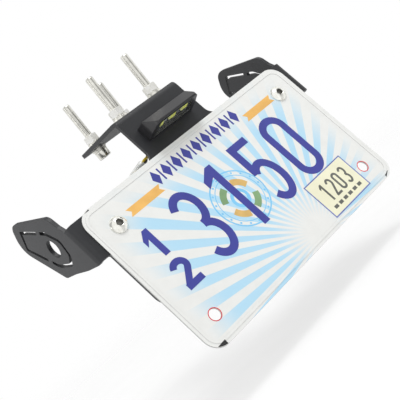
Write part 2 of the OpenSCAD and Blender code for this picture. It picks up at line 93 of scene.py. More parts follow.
# Colours of the smaller print and parts, as linear light
SKY_BLUE = (0.24, 0.62, 0.93)
ARC_GOLD = (0.72, 0.47, 0.16)
ARC_GREEN = (0.24, 0.40, 0.20)
LINE_BLUE = (0.14, 0.18, 0.50)
LINE_GREY = (0.14, 0.145, 0.13)
WEDGE_BLACK = (0.03, 0.03, 0.03)
RING_RED = (0.75, 0.03, 0.045)
LENS_GREY = (0.30, 0.31, 0.31)
TUBE_WHITE = (0.80, 0.82, 0.80)
BRASS = (0.80, 0.56, 0.22)
NYLON = (0.74, 0.74, 0.70)
RUBBER = (0.018, 0.018, 0.018)
LACQUER = (0.02, 0.028, 0.024)
LED_CASE = (0.62, 0.63, 0.60)
CERAMIC = (0.42, 0.43, 0.42)
BARE_METAL = ((0.46, 0.46, 0.45), (0.56, 0.56, 0.55))
FLOOR_PAPER = ((0.93, 0.93, 0.93), (0.95, 0.95, 0.95))

# Axes of the number plate: X across, up the plate, and out of its face
ACROSS = Vector((1, 0, 0))
UP = Vector((0, math.sin(LEAN), math.cos(LEAN)))
OUT = Vector((0, -math.cos(LEAN), math.sin(LEAN)))


def node_middle(node):
    """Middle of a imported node's box."""
    low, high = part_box(node)
    return (low + high) / 2


PLATE_FACE = node_middle("number_plate") + OUT * PLATE_T / 2

# The photo's camera: where it stands, where it looks and which way is up in its picture
CAMERA_PLACE = Vector((-0.290485, -0.434858, -0.040082))
CAMERA_LOOK = Vector((0.562894, 0.824922, -0.051513))
CAMERA_TOP = Vector((0.540628, -0.320327, 0.777890))

# Disk lamps: place and diameter, in metres
KEY_LAMP = ((0.25, -0.5, 1.05), 0.5)
SIDE_LAMP = ((-1.0, 0.15, 0.35), 0.7)

STUDS = ("fl", "fr", "rl", "rr")
SIDES = ("left", "right")

# The lead's route from the grommet to the hank, in metres, as the part's source has it
LEAD_ROUTE = (
    (0, -0.029, -0.0166), (0, -0.0259, -0.0175), (-0.0025, -0.0241, -0.0188), (-0.007, -0.0238, -0.0212),
    (-0.0125, -0.025, -0.0236), (-0.018, -0.0265, -0.0258), (-0.0235, -0.0278, -0.0275),
    (-0.029, -0.0287, -0.0288), (-0.0342, -0.029, -0.0298), (-0.039, -0.0291, -0.0314),
    (-0.0426, -0.0291, -0.0344), (-0.0442, -0.0292, -0.0388), (-0.0446, -0.0292, -0.044),
    (-0.0446, -0.0292, -0.05),
)

# What the properties of one kind have in common
COLOUR = {"subtype": "COLOR", "min": 0, "max": 1}
LENGTH = {"subtype": "DISTANCE", "unit": "LENGTH"}
POWER = {"unit": "POWER", "min": 0, "max": 50}


class TidyFinishes(bpy.types.PropertyGroup):
    """Colours of the part's materials, as linear light."""

    coat: FloatVectorProperty(
        name="Powder Coat", description="Black coat on the folded bracket",
        default=(0.025, 0.026, 0.029), **COLOUR)
    film: FloatVectorProperty(
        name="Plate Film", description="White reflective film on the number plate",
        default=(0.88, 0.885, 0.86), **COLOUR)
    ray: FloatVectorProperty(
        name="Rays", description="Pale blue of the printed rays",
        default=(0.47, 0.76, 0.95), **COLOUR)
    ink: FloatVectorProperty(
        name="Numerals", description="Dark blue of the printed numerals",
        default=(0.055, 0.062, 0.34), **COLOUR)
    gold: FloatVectorProperty(
        name="Gold Ink", description="Gold of the two printed bars",
        default=(0.92, 0.52, 0.14), **COLOUR)
    sticker: FloatVectorProperty(
        name="Sticker", description="Pale yellow of the small sticker",
        default=(0.93, 0.91, 0.68), **COLOUR)
    steel: FloatVectorProperty(
        name="Stainless Steel", description="Bolts, nuts and washers",
        default=(0.83, 0.82, 0.76), **COLOUR)
    plastic: FloatVectorProperty(
        name="Light Housing", description="Black moulded plastic of the plate light",
        default=(0.022, 0.022, 0.024), **COLOUR)
    # Also the colour of the LEDs' painted glow
    phosphor: FloatVectorProperty(
        name="LED Phosphor", description="Yellow-green of an unlit white LED",
        default=(0.66, 0.70, 0.12), **COLOUR)


class TidyPrint(bpy.types.PropertyGroup):
    """Sizes of the print on the number plate."""

    numeral_height: FloatProperty(
        name="Numeral Height", description="Height of the large numerals",
        default=0.047, min=0.03, max=0.055, **LENGTH)
    numeral_width: FloatProperty(
        name="Numeral Width", description="Width of the large numerals",
        default=0.0205, min=0.014, max=0.026, **LENGTH)
    numeral_stroke: FloatProperty(
        name="Numeral Stroke", description="Width of the large numerals' stroke",
        default=0.0049, min=0.003, max=0.008, **LENGTH)
    numeral_pitch: FloatProperty(
        name="Numeral Pitch", description="Distance from one large numeral to the next",
        default=0.0282, min=0.02, max=0.034, **LENGTH)
    ray_pairs: IntProperty(
        name="Rays", description="Number of rays in a full turn about the point they leave from",
        default=44, min=12, max=80)
    ray_centre_x: FloatProperty(
        name="Ray Centre", description="Point that the rays leave from, to the right of the middle",
        default=0.014, min=-0.06, max=0.06, **LENGTH)
    ink_height: FloatProperty(
        name="Ink Height", description="How far the ink stands on the film",
        default=0.00006, min=0.00002, max=0.0002, **LENGTH)


class TidyThreads(bpy.types.PropertyGroup):
    """Threads and heads of the bolts and screws."""

    stud_pitch: FloatProperty(
        name="Tail Bolt Pitch", description="Thread pitch of the four tail bolts",
        default=0.0008, min=0.0005, max=0.0012, **LENGTH)
    screw_pitch: FloatProperty(
        name="Plate Screw Pitch", description="Thread pitch of the two plate screws",
        default=0.001, min=0.0005, max=0.0015, **LENGTH)
    socket: FloatProperty(
        name="Socket", description="Width of the hexagon sockets across their flats",
        default=0.004, min=0.002, max=0.005, **LENGTH)
    segments: IntProperty(
        name="Segments", description="Faces round each thread, a multiple of six",
        default=36, min=18, max=72)


class TidyLead(bpy.types.PropertyGroup):
    """Twisted pair of wires and the hank it is folded into."""

    diameter: FloatProperty(
        name="Lead Diameter", description="Diameter over both wires",
        default=0.003, min=0.002, max=0.005, **LENGTH)
    twist: FloatProperty(
        name="Twist", description="Length of one turn of the twisted pair",
        default=0.013, min=0.008, max=0.04, **LENGTH)
    hank_length: FloatProperty(
        name="Hank Length", description="Length of the folded runs",
        default=0.048, min=0.04, max=0.06, **LENGTH)
    hank_width: FloatProperty(
        name="Hank Width", description="Width of the hank's end loops",
        default=0.018, min=0.015, max=0.02, **LENGTH)
    sheath: FloatVectorProperty(
        name="Black Wire", description="Colour of the first wire",
        default=(0.02, 0.02, 0.022), **COLOUR)
    stripe: FloatVectorProperty(
        name="Yellow Wire", description="Colour of the second wire",
        default=(0.85, 0.62, 0.04), **COLOUR)


class TidyStage(bpy.types.PropertyGroup):
    """Floor, lamps and camera."""

    floor_gap: FloatProperty(
        name="Floor Gap", description="Height of the part above the floor",
        default=0.03, min=0, max=0.5, **LENGTH)
    floor_cover: FloatProperty(
        name="Floor Cover", description="How much the floor hides the white behind it",
        default=0.45, min=0, max=1)
    ambient: FloatProperty(
        name="Ambient", description="Strength of the light from all round",
        default=0.74, min=0, max=1)
    key_power: FloatProperty(
        name="Key Lamp", description="Power of the large lamp above the part",
        default=6.0, **POWER)
    side_power: FloatProperty(
        name="Side Lamp", description="Power of the lamp to the left",
        default=2.0, **POWER)
    panels: IntProperty(
        name="Panels", description="Number of tall white panels that metal reflects",
        default=3, min=1, max=12)
    panel_turn: FloatProperty(
        name="Panel Turn", description="How far the panels are turned round the part",
        subtype="ANGLE", unit="ROTATION", default=1.785, min=-3.15, max=3.15)
    panel_gap: FloatProperty(
        name="Panel Gap", description="Brightness between the panels",
        default=0.42, min=0, max=1)
    lens: FloatProperty(
        name="Lens", description="Focal length of the camera in millimetres",
        default=76.352, min=20, max=200)


class Graph:
    """Node tree of one material, or of the world, with short calls to add and link nodes."""

    def __init__(self, name, world=False):
        self.owner = (bpy.data.worlds if world else bpy.data.materials).new(name)
        self.owner.use_nodes = True
        self.tree = self.owner.node_tree
        self.shader = self.tree.nodes["Background" if world else "Principled BSDF"]

    def add(self, kind, inputs=None, **settings):
        node = self.tree.nodes.new("ShaderNode" + kind)
        for key, value in settings.items():
            setattr(node, key, value)
        for key, value in (inputs or {}).items():
            self.feed(node.inputs[key], value)
        return node

    def feed(self, socket, value):
        """Links a socket, or sets it where the value is a plain one."""
        if isinstance(value, bpy.types.NodeSocket):
            self.tree.links.new(value, socket)
        else:
            socket.default_value = value

    def calc(self, operation, *values):
        return self.add("Math", dict(enumerate(values)), operation=operation).outputs[0]

    def times(self, first, second):
        return self.calc("MULTIPLY", first, second)

    def rest(self, share):
        """What is missing from 1."""
        return self.calc("SUBTRACT", 1.0, share)

    def blend(self, share, low, high):
        return self.calc("ADD", self.times(share, self.calc("SUBTRACT", high, low)), low)

    def reach(self, across, along):
        """Distance from the middle of a plane, from its two parts."""
        return self.calc("SQRT", self.calc("ADD", self.times(across, across), self.times(along, along)))

    def dot(self, vector, axis, start=(0, 0, 0)):
        """Distance of a place from start, along axis."""
        shift = self.add("VectorMath", {0: vector, 1: start}, operation="SUBTRACT")
        node = self.add("VectorMath", {0: shift.outputs[0], 1: axis}, operation="DOT_PRODUCT")
        return node.outputs["Value"]

    def place(self):
        return self.add("TexCoord").outputs["Object"]

    def noise(self, scale, detail=3.0, rough=0.5, stretch=(1, 1, 1)):
        """Noise over the surface, scale features to the metre."""
        mapping = self.add("Mapping", {"Scale": stretch, "Vector": self.place()})
        node = self.add("TexNoise", {"Vector": mapping.outputs["Vector"], "Scale": scale,
                                     "Detail": detail, "Roughness": rough})
        return node.outputs["Fac"]

    def ramp(self, factor, low, high, start=0.35, end=0.65):
        node = self.add("ValToRGB", {"Fac": factor})
        first, last = node.color_ramp.elements
        first.position, last.position = start, end
        first.color, last.color = (*low, 1), (*high, 1)
        return node.outputs["Color"]

    def mix(self, factor, low, high):
        """Blend of two colours, each a socket or a plain one with its alpha."""
        return self.add("Mix", {0: factor, 6: low, 7: high}, data_type="RGBA").outputs[2]

    def band(self, factor, low, high):
        """Factor from 0 to 1 spread between two numbers."""
        return self.add("MapRange", {"Value": factor, "To Min": low, "To Max": high}).outputs["Result"]

    def step(self, value, start, end):
        """0 below start, 1 above end, and a soft rise between them."""
        node = self.add("MapRange", {"Value": value, "From Min": start, "From Max": end},
                        interpolation_type="SMOOTHSTEP")
        return node.outputs["Result"]

    def paint(self, colour):
        self.feed(self.shader.inputs["Base Color"], colour)

    def rough(self, value):
        self.feed(self.shader.inputs["Roughness"], value)

    def bump(self, height, depth, edge=0.0):
        """Raises the surface by depth metres, over edges rounded by edge metres."""
        node = self.add("Bump", {"Distance": depth, "Height": height})
        if edge:
            bevel = self.add("Bevel", {"Radius": edge}, samples=6)
            self.feed(node.inputs["Normal"], bevel.outputs["Normal"])
        self.feed(self.shader.inputs["Normal"], node.outputs["Normal"])

    def sockets(self, **values):
        """Sets plain numbers on the shader's own sockets."""
        for key, value in values.items():
            self.shader.inputs[key.replace("_", " ")].default_value = value


def shade(colour, factor):
    """A colour made darker or lighter."""
    return tuple(min(1.0, channel * factor) for channel in colour)


def satin(name, colour, roughness, grain, depth, edge=0.0, vary=0.12, **plain):
    """Finish with a fine grain: coats, plastics, rubber and plain inks."""
    graph = Graph(name)
    patches = graph.noise(90, 4)
    graph.paint(graph.ramp(patches, shade(colour, 1 - vary), shade(colour, 1 + vary)))
    fine = graph.noise(grain, 2)
    graph.rough(graph.band(fine, roughness - 0.05, roughness + 0.05))
    graph.bump(fine, depth, edge)
    graph.sockets(**plain)
    return graph.owner


def ink(name, colour, roughness=0.35, vary=0.1):
    """Finish of one printed ink."""
    return satin(name, colour, roughness, INK_GRAIN, RELIEF, vary=vary)


def brushed(name, colour, roughness, edge=0.0):
    """Stainless steel with faint turning marks and a little tarnish."""
    graph = Graph(name)
    patches = graph.noise(220, 5, 0.6)
    graph.paint(graph.ramp(patches, shade(colour, 0.86), shade(colour, 1.08)))
    lines = graph.noise(900, 3, 0.6, stretch=(1, 1, 9))
    graph.rough(graph.band(lines, roughness - 0.05, roughness + 0.07))
    graph.bump(lines, 0.003 * MM, edge)
    graph.sockets(Metallic=1.0)
    return graph.owner


def clear(name, tint, roughness, cover):
    """Thin clear moulding, which hides a small share of what is behind it."""
    graph = Graph(name)
    waves = graph.noise(300, 2)
    graph.paint(graph.ramp(waves, shade(tint, 0.97), tint))
    graph.rough(graph.band(waves, roughness, roughness + 0.04))
    graph.bump(waves, 0.004 * MM)
    graph.sockets(Alpha=cover)
    return graph.owner


def plate_film(finishes, sizes):
    """White film with pale rays on the front, and bare aluminium on the back."""
    graph = Graph("plate_film")
    place = graph.place()
    below, strength, edge = 45.5 * MM, 0.95, 0.12
    centre = PLATE_FACE + ACROSS * sizes.ray_centre_x - UP * below
    across = graph.dot(place, ACROSS, centre)
    up = graph.dot(place, UP, centre)
    angle = graph.calc("ARCTAN2", across, up)
    wave = graph.calc("SINE", graph.times(angle, sizes.ray_pairs))
    ray = graph.step(wave, -edge, edge)

    # The rays fade near their centre, at the plate's sides and near its top
    inner = graph.step(graph.reach(across, up), 8 * MM, 34 * MM)
    sides = graph.step(graph.calc("ABSOLUTE", graph.dot(place, ACROSS, PLATE_FACE)), 58 * MM, 86 * MM)
    top = graph.times(graph.step(graph.dot(place, UP, PLATE_FACE), 22 * MM, 46 * MM), strength)
    fade = graph.times(inner, graph.rest(sides))
    fade = graph.times(fade, graph.rest(top))
    tint = graph.times(graph.times(ray, fade), strength)
    soil = graph.noise(130, 5, 0.6)
    white = graph.ramp(soil, shade(finishes.film, 0.965), finishes.film, 0.3, 0.6)
    printed = graph.mix(tint, white, (*finishes.ray, 1))

    facing = graph.dot(graph.add("NewGeometry").outputs["Normal"], OUT)
    front = graph.step(facing, 0.2, 0.6)
    metal = graph.ramp(graph.noise(400, 3, 0.6, stretch=(8, 1, 1)), *BARE_METAL)
    graph.paint(graph.mix(front, metal, printed))
    graph.feed(graph.shader.inputs["Metallic"], graph.rest(front))
    beads = graph.noise(5200, 2)
    graph.rough(graph.band(beads, 0.30, 0.42))
    graph.bump(beads, 0.012 * MM, 0.25 * MM)
    return graph.owner


def place_piece(name, mesh, materials):
    """Puts a mesh on the part, with the materials it is given."""
    for material in materials:
        mesh.materials.append(material)
    piece = bpy.data.objects.new(name, mesh)
    bpy.context.scene.collection.objects.link(piece)
    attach(piece, BODY)
    return piece


def add_piece(name, points, faces, materials, sharp=35):
    """Piece with a mesh of its own, smooth but for edges sharper than an angle in degrees."""
    mesh = bpy.data.meshes.new(name)
    mesh.from_pydata([tuple(point) for point in points], [], faces)
    mesh.validate()
    mesh.shade_smooth()
    mesh.set_sharp_from_angle(angle=math.radians(sharp))
    return place_piece(name, mesh, materials)


def dress(node, material):
    """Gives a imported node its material."""
    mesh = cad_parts[node].data
    mesh.materials.clear()
    mesh.materials.append(material)


def circle(centre, radius, start=0.0, end=360.0, squeeze=1.0, step=8.0):
    """Points along an arc in the plate's face, squeezed across by a share."""
    count = max(2, round(abs(end - start) / step))
    angles = [math.radians(start + (end - start) * i / count) for i in range(count + 1)]
    return [(centre[0] + radius * squeeze * math.cos(a), centre[1] + radius * math.sin(a)) for a in angles]


def in_mm(*places):
    """Places in the plate's face that are written in millimetres."""
    return [(across * MM, up * MM) for across, up in places]


class Slabs:
    """Flat shapes of one ink, each a thin slab on the number plate's face."""

    def __init__(self, high, low=-INK_FOOT):
        self.low, self.high = low, high
        self.points, self.faces = [], []

    def place(self, flat, height):
        return PLATE_FACE + ACROSS * flat[0] + UP * flat[1] + OUT * height

    def rise(self):
        """Lifts what comes next a little, so that crossing strokes don't share a face."""
        self.high += INK_STEP

    def polygon(self, flat):
        first = len(self.points)
        count = len(flat)
        self.points += [self.place(point, self.high) for point in flat]
        self.points += [self.place(point, self.low) for point in flat]
        self.faces.append(tuple(range(first, first + count)))
        self.faces.append(tuple(range(first + 2 * count - 1, first + count - 1, -1)))
        for i in range(count):
            j = (i + 1) % count
            self.faces.append((first + j, first + i, first + count + i, first + count + j))

    def ribbon(self, line, width, closed=False):
        """Stroke of one width along a line, with its corners mitred."""
        count, sharpest = len(line), 0.3
        left, right = [], []
        for i in range(count):
            here = Vector(line[i])
            before = Vector(line[i - 1]) if closed or i else here * 2 - Vector(line[1])
            after = Vector(line[(i + 1) % count]) if closed or i < count - 1 else here * 2 - before
            enter = (here - before).normalized()
            leave = (after - here).normalized()
            along = (enter + leave).normalized()
            side = Vector((-along.y, along.x)) * width / 2 / max(sharpest, along.dot(enter))
            left.append(here + side)
            right.append(here - side)
        first = len(self.points)
        for height in (self.high, self.low):
            self.points += [self.place(point, height) for point in left]
            self.points += [self.place(point, height) for point in right]
        for i in range(count if closed else count - 1):
            j = (i + 1) % count
            a, b = first + i, first + j
            c, d = b + count, a + count
            under = 2 * count
            self.faces += [(d, c, b, a), (a + under, b + under, c + under, d + under)]
            self.faces += [(a, b, b + under, a + under), (c, d, d + under, c + under)]
        if not closed:
            for i in (0, count - 1):
                a, d = first + i, first + i + count
                ends = (a, a + 2 * count, d + 2 * count, d)
                self.faces.append(ends if i == 0 else ends[::-1])

    def ring(self, centre, radius, width):
        self.ribbon(circle(centre, radius)[:-1], width, closed=True)

    def piece(self, name, material):
        return add_piece(name, self.points, self.faces, [material])


def numeral(slabs, digit, centre, width, height, stroke):
    """Plain numeral drawn with strokes of one width."""
    x, y = centre
    half_w, half_h = (width - stroke) / 2, (height - stroke) / 2
    squeeze = half_w / (half_h / 2)
    left, right, top, foot = x - half_w, x + half_w, y + half_h, y - half_h

    def arc(rise, radius, start, end, narrow=squeeze):
        slabs.ribbon(circle((x, y + rise), radius, start, end, narrow), stroke)

    if digit == 0:
        lift = half_h - half_w
        loop = circle((x, y + lift), half_w, 0, 180) + circle((x, y - lift), half_w, 180, 360)
        slabs.ribbon(loop, stroke, closed=True)
    if digit == 1:
        stem, high, low = x + half_w / 4 + stroke / 2, y + height / 2, y - height / 2
        slabs.polygon([
            (stem - stroke, low), (stem, low), (stem, high), (stem - 0.9 * stroke, high),
            (left, high - 1.3 * stroke), (left, high - 2.4 * stroke), (stem - stroke, high - 1.5 * stroke)])
    if digit == 2:
        bowl = circle((x, y + half_h / 2), half_h / 2, 165, -28, squeeze)
        slabs.ribbon(bowl + [(left, foot)], stroke)
        slabs.rise()
        slabs.ribbon([(left - stroke * 0.36, foot), (right + stroke / 2, foot)], stroke)
    if digit == 3:
        arc(half_h / 2, half_h / 2, 155, -90)
        slabs.rise()
        arc(-half_h / 2, half_h / 2, 90, -155)
    if digit == 5:
        stem = x - half_w * 0.75
        slabs.ribbon([(right, top), (stem, top), (stem, y + half_h * 0.02)], stroke)
        slabs.rise()
        arc(-half_h * 0.38, half_h * 0.62, 140, -145, squeeze * 0.8)


def lathe(rows, segments, matrix):
    """Closed turned mesh from rows of height and radius, which start and end at a pole without a radius.

    A radius is a number or a function of the angle. The row that each face belongs to is given too.
    """
    points, faces, face_rows = [], [], []
    for height, radius in rows:
        if radius is None:
            points.append(matrix @ Vector((0, 0, height)))
            continue
        for k in range(segments):
            angle = 2 * math.pi * k / segments
            r = radius(angle) if callable(radius) else radius
            points.append(matrix @ Vector((r * math.cos(angle), r * math.sin(angle), height)))
    last = len(points) - 1
    for k in range(segments):
        n = (k + 1) % segments
        faces.append((0, 1 + n, 1 + k))
        faces.append((last, last - segments + k, last - segments + n))
        face_rows += [0, len(rows)]
        for row in range(len(rows) - 3):
            a = 1 + row * segments
            faces.append((a + k, a + n, a + segments + n, a + segments + k))
            face_rows.append(row + 1)
    return points, faces, face_rows


def add_turned(name, rows, segments, matrix, steel, shadow):
    """Turned steel piece, with a much darker copy of its steel in the socket of its head: painted shade in
    the recess.
    """
    points, faces, face_rows = lathe(rows, segments, matrix)
    piece = add_piece(name, points, faces, [steel, shadow])
    piece.data.polygons.foreach_set("material_index", [int(row < 2) for row in face_rows])
    return piece


def hexagon(across_flats):
    """Radius of a hexagon's side at an angle."""
    sixth = math.pi / 3
    return lambda angle: across_flats / 2 / math.cos((angle % sixth) - sixth / 2)


def mouth_radius(across_flats):
    """Radius of a socket's round mouth, a little past the hexagon's corners."""
    return across_flats / 2 / math.cos(math.pi / 6) + MOUTH


def thread_rows(start, end, radius, pitch):
    """Rows of a thread of the given outer radius, which runs out at both ends."""
    depth, flank, per_turn = 0.17 * pitch, 1.25, 6
    count = round(abs(end - start) / pitch * per_turn)
    rows = []
    for i in range(count + 1):
        share = i / count
        height = start + (end - start) * share
        fade = min(1.0, share * count / per_turn, (1 - share) * count / per_turn)

        def thread(angle, height=height, fade=fade):
            phase = (height / pitch - angle / (2 * math.pi)) % 1.0
            return radius - depth * fade * min(1.0, flank * abs(2 * phase - 1))

        rows.append((height, thread))
    return rows


def tail_bolt_rows(length, head_r, radius, threads):
    """Socket head bolt with its head down and the shank up."""
    head_h, neck, chamfer, edge = 5 * MM, 2 * MM, 0.5 * MM, 0.2 * MM
    socket = hexagon(threads.socket)
    rows = [(head_h / 2, None), (head_h / 2, socket), (MOUTH, socket), (0, mouth_radius(threads.socket))]
    rows += [(0, head_r - chamfer), (MOUTH, head_r - chamfer / 3), (chamfer, head_r)]
    rows += [(head_h - edge, head_r), (head_h, head_r - edge), (head_h, radius), (head_h + neck, radius)]
    rows += thread_rows(head_h + neck + edge, length - 0.8 * MM, radius, threads.stud_pitch)
    rows += [(length - 0.6 * MM, radius - 0.1 * MM), (length, radius - 0.6 * MM), (length, None)]
    return rows


def plate_screw_rows(threads):
    """Button head screw, heights counted out from the number plate's face."""
    head_r, head_h, rim_h, edge = 5.25 * MM, 3.3 * MM, 0.6 * MM, 0.1 * MM
    shank_r, neck, tip = 3 * MM, -3.6 * MM, -16 * MM
    socket, mouth = hexagon(threads.socket), mouth_radius(threads.socket)
    dome = head_h - rim_h
    dome_r = (head_r ** 2 + dome ** 2) / (2 * dome)

    def crown(radius):
        return head_h - dome_r + math.sqrt(dome_r ** 2 - radius ** 2)

    floor, rings = head_h - 2 * MM, 9
    rows = [(floor, None), (floor, socket), (crown(mouth) - MOUTH, socket), (crown(mouth), mouth)]
    for i in range(1, rings + 1):
        r = mouth + (head_r - mouth) * i / rings
        rows.append((crown(r), r))
    rows += [(edge, head_r), (0, head_r - edge), (0, shank_r), (neck, shank_r)]
    rows += thread_rows(neck - edge, tip + 0.7 * MM, shank_r, threads.screw_pitch)
    rows += [(tip + 0.5 * MM, shank_r - 0.2 * MM), (tip, shank_r - 0.7 * MM), (tip, None)]
    return rows


def smooth_path(knots, spacing):
    """Points at about one spacing along a smooth curve through the knots."""
    points = [Vector(knot) for knot in knots]
    padded = [points[0] * 2 - points[1]] + points + [points[-1] * 2 - points[-2]]
    path = []
    for i in range(1, len(padded) - 2):
        a, b, c, d = padded[i - 1:i + 3]
        count = max(1, round((c - b).length / spacing))
        for k in range(count):
            t = k / count
            path.append((b * 2 + (c - a) * t + (a * 2 - b * 5 + c * 4 - d) * t ** 2
                         + (b * 3 - a - c * 3 + d) * t ** 3) / 2)
    path.append(points[-1])
    return path


def hank_knots(lead):
    """The three folded runs under the tie, from the end of the route down to the split wires."""
    top = Vector(LEAD_ROUTE[-1])
    half = lead.hank_length / 2
    loop = (lead.hank_width - lead.diameter) / 2
    reach = half - loop - lead.diameter / 2
    lane = lead.diameter
    layer = lead.diameter / 2

    def at(across, up, back):
        return top + Vector((across, back * layer, up - half))

    def bend(start, middle, back):
        """Half a turn of the cord about the middle of an end loop."""
        angles = [math.radians(a) for a in range(start, start + 181, 30)]
        return [at(loop * math.cos(a), middle + loop * math.sin(a), back) for a in angles]

    knots = [at(-0.1 * lane, reach + 0.6 * loop, 0.8), at(-0.5 * lane, reach * 0.6, 1), at(-lane, 0, 1),
             at(-1.5 * lane, -reach * 0.55, 1)]
    knots += bend(180, -reach, 1)
    knots += [at(1.5 * lane, -reach * 0.55, 0.7), at(lane, 0, 0), at(1.5 * lane, reach * 0.55, -0.7)]
    knots += bend(0, reach, -1)
    knots += [at(-1.2 * lane, reach * 0.5, -1), at(0, 0, -1), at(0, -reach * 0.6, -1),
              at(0, -reach - 0.5 * loop, -0.9), at(0, -half, 0)]
    return knots


def twisted_pair(path, lead):
    """Two wires that turn about each other along the path, and part at its end."""
    sides, wire_r = 10, lead.diameter / 4
    split, split_over = 2.8 * MM, 7 * MM
    walked = [0.0]
    for a, b in zip(path, path[1:]):
        walked.append(walked[-1] + (b - a).length)
    total = walked[-1]
    # A quarter turn less sets the wires side by side where they part
    turns = round((total - split_over) / lead.twist) - 0.25
    points, faces, marks = [], [], []
    side = Vector((0, 1, 0))
    for i, here in enumerate(path):
        along = (path[min(i + 1, len(path) - 1)] - path[max(i - 1, 0)]).normalized()
        side = (side - along * side.dot(along)).normalized()
        other = along.cross(side)
        share = max(0.0, (walked[i] - total + split_over) / split_over)
        apart = wire_r + (split - wire_r) * share ** 2 * (3 - 2 * share)
        turn = 2 * math.pi * turns * min(1.0, walked[i] / (total - split_over))
        offset = side * math.cos(turn) + other * math.sin(turn)
        if share > 0:
            offset = offset.lerp(Vector((1, 0, 0)), share).normalized()
        for wire in (1, -1):
            middle = here + offset * apart * wire
            for k in range(sides):
                angle = 2 * math.pi * k / sides
                points.append(middle + (side * math.cos(angle) + other * math.sin(angle)) * wire_r)
    ring = 2 * sides
    for wire in range(2):
        for i in range(len(path) - 1):
            for k in range(sides):
                n = (k + 1) % sides
                a = i * ring + wire * sides
                faces.append((a + k, a + n, a + ring + n, a + ring + k))
                marks.append(wire)
        first, last = wire * sides, (len(path) - 1) * ring + wire * sides
        faces.append(tuple(range(first + sides - 1, first - 1, -1)))
        faces.append(tuple(range(last, last + sides)))
        marks += [wire, wire]
    return points, faces, marks, total


def round_box(name, middle, size, axes, material, bevel):
    """Small block with rounded edges, set along the given axes."""
    mesh = bpy.data.meshes.new(name)
    corners = [(x, y, z) for x in (-1, 1) for y in (-1, 1) for z in (-1, 1)]
    points = [middle + sum((axis * s * c / 2 for axis, s, c in zip(axes, size, corner)), Vector())
              for corner in corners]
    sides = [(0, 1, 3, 2), (4, 6, 7, 5), (0, 4, 5, 1), (2, 3, 7, 6), (0, 2, 6, 4), (1, 5, 7, 3)]
    mesh.from_pydata([tuple(point) for point in points], [], sides)
    piece = place_piece(name, mesh, [material])
    rounding = piece.modifiers.new("rounding", "BEVEL")
    rounding.width = bevel
    rounding.segments = 2
    return piece


class TIDY_OT_stage(bpy.types.Operator):
    """Sets up the floor, the soft light and the camera"""

    bl_idname = "tidy.stage"
    bl_label = "Stage"

    def execute(self, context):
        stage = context.scene.tidy_stage
        context.scene.view_settings.view_transform = "Standard"
        self.add_world(context.scene, stage)
        self.add_floor(context.scene, stage)
        middle = (CAD_BOX[0] + CAD_BOX[1]) / 2
        self.add_lamp(context.scene, "key_lamp", *KEY_LAMP, stage.key_power, middle)
        self.add_lamp(context.scene, "side_lamp", *SIDE_LAMP, stage.side_power, middle)
        self.add_camera(context.scene, stage)
        return {"FINISHED"}

    def add_world(self, scene, stage):
        """White where the camera and glass look, and softer as a light; metal sees tall panels round it."""
        sky = Graph("studio", world=True)
        scene.world = sky.owner
        rays = sky.add("LightPath").outputs
        direction = sky.add("SeparateXYZ", {0: sky.add("TexCoord").outputs["Generated"]}).outputs
        bearing = sky.calc("ARCTAN2", direction["Y"], direction["X"])
        wave = sky.calc("SINE", sky.calc("ADD", sky.times(bearing, stage.panels), stage.panel_turn))
        fullness = 0.85
        panel = sky.calc("MINIMUM", sky.calc("MAXIMUM", sky.calc("ADD", wave, fullness), 0.0), 1.0)
        seen = sky.calc("MAXIMUM", rays["Is Camera Ray"], rays["Is Transmission Ray"])
        plain = sky.blend(seen, stage.ambient, 1.0)
        mirrored = sky.blend(panel, stage.panel_gap, 1.0)
        sky.sockets(Color=(1, 1, 1, 1))
        sky.feed(sky.shader.inputs["Strength"], sky.blend(rays["Is Glossy Ray"], plain, mirrored))

    def add_floor(self, scene, stage):
        """Pale round floor that fades into the background."""
        radius, solid_r, faded_r = 0.75, 0.2, 0.675
        level = CAD_BOX[0].z - stage.floor_gap
        angles = [math.radians(a) for a in range(0, 360, 6)]
        points = [(radius * math.cos(a), radius * math.sin(a), level) for a in angles]
        mesh = bpy.data.meshes.new("floor")
        mesh.from_pydata(points, [], [tuple(range(len(points)))])
        graph = Graph("floor_paper")
        graph.paint(graph.ramp(graph.noise(40, 3), *FLOOR_PAPER))
        graph.sockets(Roughness=0.9, Specular_IOR_Level=0.1)
        place = graph.place()
        reach = graph.reach(graph.dot(place, (1, 0, 0)), graph.dot(place, (0, 1, 0)))
        solid = graph.rest(graph.step(reach, solid_r, faded_r))
        above = graph.rest(graph.add("NewGeometry").outputs["Backfacing"])
        cover = graph.times(above, stage.floor_cover)
        graph.feed(graph.shader.inputs["Alpha"], graph.times(solid, cover))
        mesh.materials.append(graph.owner)
        floor = bpy.data.objects.new("floor", mesh)
        scene.collection.objects.link(floor)

    def add_lamp(self, scene, name, place, size, power, aim):
        data = bpy.data.lights.new(name, "AREA")
        data.shape = "DISK"
        data.size = size
        data.energy = power
        lamp = bpy.data.objects.new(name, data)
        lamp.location = place
        lamp.rotation_euler = (aim - Vector(place)).to_track_quat("-Z", "Y").to_euler()
        scene.collection.objects.link(lamp)

    def add_camera(self, scene, stage):
        """Camera low on the left, rolled so that the part lies slanted in the picture."""
        data = bpy.data.cameras.new("camera")
        data.lens = stage.lens
        data.sensor_width = 36
        data.clip_start, data.clip_end = 0.01, 20
        camera = bpy.data.objects.new("camera", data)
        right = CAMERA_LOOK.cross(CAMERA_TOP)
        basis = Matrix((right, CAMERA_TOP, -CAMERA_LOOK)).transposed().to_4x4()
        camera.matrix_world = Matrix.Translation(CAMERA_PLACE) @ basis
        scene.collection.objects.link(camera)
        scene.camera = camera


